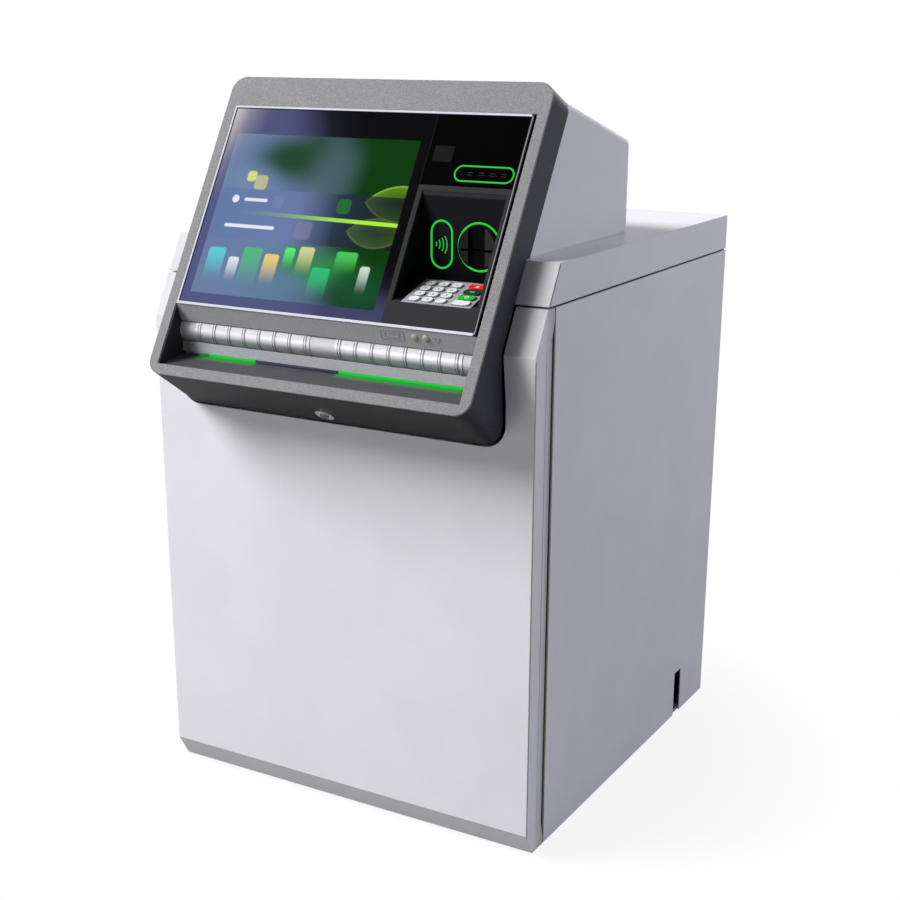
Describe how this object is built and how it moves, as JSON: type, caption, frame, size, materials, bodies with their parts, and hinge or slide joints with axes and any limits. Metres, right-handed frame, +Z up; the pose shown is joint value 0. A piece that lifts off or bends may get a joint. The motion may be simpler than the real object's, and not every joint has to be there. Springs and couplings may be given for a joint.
{
  "type": "automated teller machine",
  "caption": "Free-standing lobby cash machine: leaning fascia with screen, keypad recess and note slot, hinged front door, safe with cassettes behind it.",
  "frame": {"origin": "floor level, under the middle of the overall width and depth", "axes": "+Z up, the front with screen and door faces -Y, +X towards the keypad's side"},
  "size_m": [0.76, 0.93, 1.2839],
  "materials": {
    "anthracite": "fine moulded texture",
    "black_gloss": "gloss",
    "black_matte": "fine texture",
    "bright_trim": "bright satin",
    "cabinet_paint": "satin, fine texture",
    "door_paint": "satin, fine texture",
    "drum_alloy": "turned and polished",
    "face_grey": "speckled moulded texture",
    "frame_steel": "powder coat",
    "guide_green": "lit",
    "key_dark": "satin",
    "key_green": "satin",
    "key_red": "satin",
    "key_white": "satin",
    "keypad_steel": "brushed",
    "lock_chrome": "polished",
    "module_alloy": "milled",
    "module_grey": "matte",
    "pad_rubber": "matte",
    "paper": "matt paper",
    "pocket_grey": "fine texture",
    "reader_black": "satin",
    "safe_paint": "hammered powder coat",
    "screen_glass": "gloss, lit from behind",
    "zinc_steel": "zinc plated"
  },
  "bodies": {
    "cabinet": {"base_frame": "frame_steel", "levelling_feet": "pad_rubber", "side_panel_left": "cabinet_paint", "side_panel_right": "cabinet_paint", "rear_panel": "cabinet_paint", "top_cover": "cabinet_paint", "hood": "cabinet_paint", "topbox_chassis": "zinc_steel", "computer_core": "module_grey", "receipt_printer": "module_grey", "safe_body": "safe_paint", "door_hinges": "zinc_steel", "cassette_rack": "module_alloy", "reject_bin": "module_grey", "note_transport": "module_grey", "cassette_1": "module_grey", "cassette_2": "module_grey", "cassette_3": "module_grey", "cassette_4": "module_grey"},
    "fascia": {"fascia_frame": "anthracite", "fascia_face": "face_grey", "trim_bezel": "bright_trim", "display_glass": "screen_glass", "display_module": "module_grey", "control_panel": "black_gloss", "camera_window": "reader_black", "pin_recess": "black_matte", "contactless_reader": "reader_black", "card_reader": "reader_black", "keypad_plate": "keypad_steel", "keypad_housing": "black_matte", "media_surround": "pocket_grey", "light_guides": "guide_green", "lock_collar": "lock_chrome"},
    "front_door": {"door_skin": "door_paint", "door_frame": "frame_steel"},
    "safe_door": {"safe_door": "safe_paint"},
    "safe_handle": {"safe_handle": "lock_chrome"},
    "safe_bolts": {"safe_bolts": "zinc_steel"},
    "paper_roll": {"paper_roll": "paper"},
    "shutter_left": {"shutter_left": "drum_alloy"},
    "shutter_right": {"shutter_right": "drum_alloy"},
    "lock_plug": {"lock_plug": "lock_chrome"},
    "key_1": {"key_1": "key_white"},
    "key_2": {"key_2": "key_white"},
    "key_3": {"key_3": "key_white"},
    "key_cancel": {"key_cancel": "key_red"},
    "key_4": {"key_4": "key_white"},
    "key_5": {"key_5": "key_white"},
    "key_6": {"key_6": "key_white"},
    "key_clear": {"key_clear": "key_dark"},
    "key_7": {"key_7": "key_white"},
    "key_8": {"key_8": "key_white"},
    "key_9": {"key_9": "key_white"},
    "key_enter": {"key_enter": "key_green"},
    "key_blank_left": {"key_blank_left": "key_white"},
    "key_0": {"key_0": "key_white"},
    "key_blank_right": {"key_blank_right": "key_white"},
    "key_blank_wide": {"key_blank_wide": "key_white"}
  },
  "joints": [
    {"name": "fascia_lift", "type": "hinge", "parent": "cabinet", "child": "fascia", "pos_m": [0, -0.12349, 1.26352], "axis": [-1, 0, 0], "range_deg": [0, 50]},
    {"name": "safe_door_swing", "type": "hinge", "parent": "cabinet", "child": "safe_door", "pos_m": [-0.284, -0.29, 0.364], "axis": [0, 0, -1], "range_deg": [0, 82]},
    {"name": "front_door_swing", "type": "hinge", "parent": "cabinet", "child": "front_door", "pos_m": [-0.368, -0.336, 0.364], "axis": [0, 0, -1], "range_deg": [0, 92]},
    {"name": "safe_handle_turn", "type": "hinge", "parent": "safe_door", "child": "safe_handle", "pos_m": [0.12, -0.29, 0.364], "axis": [0, 1, 0], "range_deg": [0, 90]},
    {"name": "safe_bolt_slide", "type": "slide", "parent": "safe_door", "child": "safe_bolts", "axis": [1, 0, 0], "range_m": [0, 0.018]},
    {"name": "shutter_left_turn", "type": "hinge", "parent": "fascia", "child": "shutter_left", "pos_m": [-0.146, -0.36738, 0.86202], "axis": [1, 0, 0], "range_deg": [0, 90]},
    {"name": "shutter_right_turn", "type": "hinge", "parent": "fascia", "child": "shutter_right", "pos_m": [0.146, -0.36738, 0.86202], "axis": [1, 0, 0], "range_deg": [0, 90]},
    {"name": "lock_turn", "type": "hinge", "parent": "fascia", "child": "lock_plug", "pos_m": [0.005, -0.3923, 0.75041], "axis": [0, -0.5635, -0.8261], "range_deg": [0, 90]},
    {"name": "paper_roll_spin", "type": "hinge", "parent": "cabinet", "child": "paper_roll", "pos_m": [0.2329, -0.029, 1.122], "axis": [1, 0, 0], "continuous": true},
    {"name": "key_1_press", "type": "slide", "parent": "fascia", "child": "key_1", "axis": [0, 0.3074, -0.9516], "range_m": [0, 0.002], "stiffness_N_per_m": 250, "springref_m": -0.002},
    {"name": "key_2_press", "type": "slide", "parent": "fascia", "child": "key_2", "axis": [0, 0.3074, -0.9516], "range_m": [0, 0.002], "stiffness_N_per_m": 250, "springref_m": -0.002},
    {"name": "key_3_press", "type": "slide", "parent": "fascia", "child": "key_3", "axis": [0, 0.3074, -0.9516], "range_m": [0, 0.002], "stiffness_N_per_m": 250, "springref_m": -0.002},
    {"name": "key_cancel_press", "type": "slide", "parent": "fascia", "child": "key_cancel", "axis": [0, 0.3074, -0.9516], "range_m": [0, 0.002], "stiffness_N_per_m": 250, "springref_m": -0.002},
    {"name": "key_4_press", "type": "slide", "parent": "fascia", "child": "key_4", "axis": [0, 0.3074, -0.9516], "range_m": [0, 0.002], "stiffness_N_per_m": 250, "springref_m": -0.002},
    {"name": "key_5_press", "type": "slide", "parent": "fascia", "child": "key_5", "axis": [0, 0.3074, -0.9516], "range_m": [0, 0.002], "stiffness_N_per_m": 250, "springref_m": -0.002},
    {"name": "key_6_press", "type": "slide", "parent": "fascia", "child": "key_6", "axis": [0, 0.3074, -0.9516], "range_m": [0, 0.002], "stiffness_N_per_m": 250, "springref_m": -0.002},
    {"name": "key_clear_press", "type": "slide", "parent": "fascia", "child": "key_clear", "axis": [0, 0.3074, -0.9516], "range_m": [0, 0.002], "stiffness_N_per_m": 250, "springref_m": -0.002},
    {"name": "key_7_press", "type": "slide", "parent": "fascia", "child": "key_7", "axis": [0, 0.3074, -0.9516], "range_m": [0, 0.002], "stiffness_N_per_m": 250, "springref_m": -0.002},
    {"name": "key_8_press", "type": "slide", "parent": "fascia", "child": "key_8", "axis": [0, 0.3074, -0.9516], "range_m": [0, 0.002], "stiffness_N_per_m": 250, "springref_m": -0.002},
    {"name": "key_9_press", "type": "slide", "parent": "fascia", "child": "key_9", "axis": [0, 0.3074, -0.9516], "range_m": [0, 0.002], "stiffness_N_per_m": 250, "springref_m": -0.002},
    {"name": "key_enter_press", "type": "slide", "parent": "fascia", "child": "key_enter", "axis": [0, 0.3074, -0.9516], "range_m": [0, 0.002], "stiffness_N_per_m": 250, "springref_m": -0.002},
    {"name": "key_blank_left_press", "type": "slide", "parent": "fascia", "child": "key_blank_left", "axis": [0, 0.3074, -0.9516], "range_m": [0, 0.002], "stiffness_N_per_m": 250, "springref_m": -0.002},
    {"name": "key_0_press", "type": "slide", "parent": "fascia", "child": "key_0", "axis": [0, 0.3074, -0.9516], "range_m": [0, 0.002], "stiffness_N_per_m": 250, "springref_m": -0.002},
    {"name": "key_blank_right_press", "type": "slide", "parent": "fascia", "child": "key_blank_right", "axis": [0, 0.3074, -0.9516], "range_m": [0, 0.002], "stiffness_N_per_m": 250, "springref_m": -0.002},
    {"name": "key_blank_wide_press", "type": "slide", "parent": "fascia", "child": "key_blank_wide", "axis": [0, 0.3074, -0.9516], "range_m": [0, 0.002], "stiffness_N_per_m": 250, "springref_m": -0.002}
  ],
  "couplings": [
    {"joint": "front_door_swing", "follows": "safe_door_swing", "ratio": 1.12},
    {"joint": "safe_bolt_slide", "follows": "safe_handle_turn", "m_per_rad": 0.01145}
  ]
}
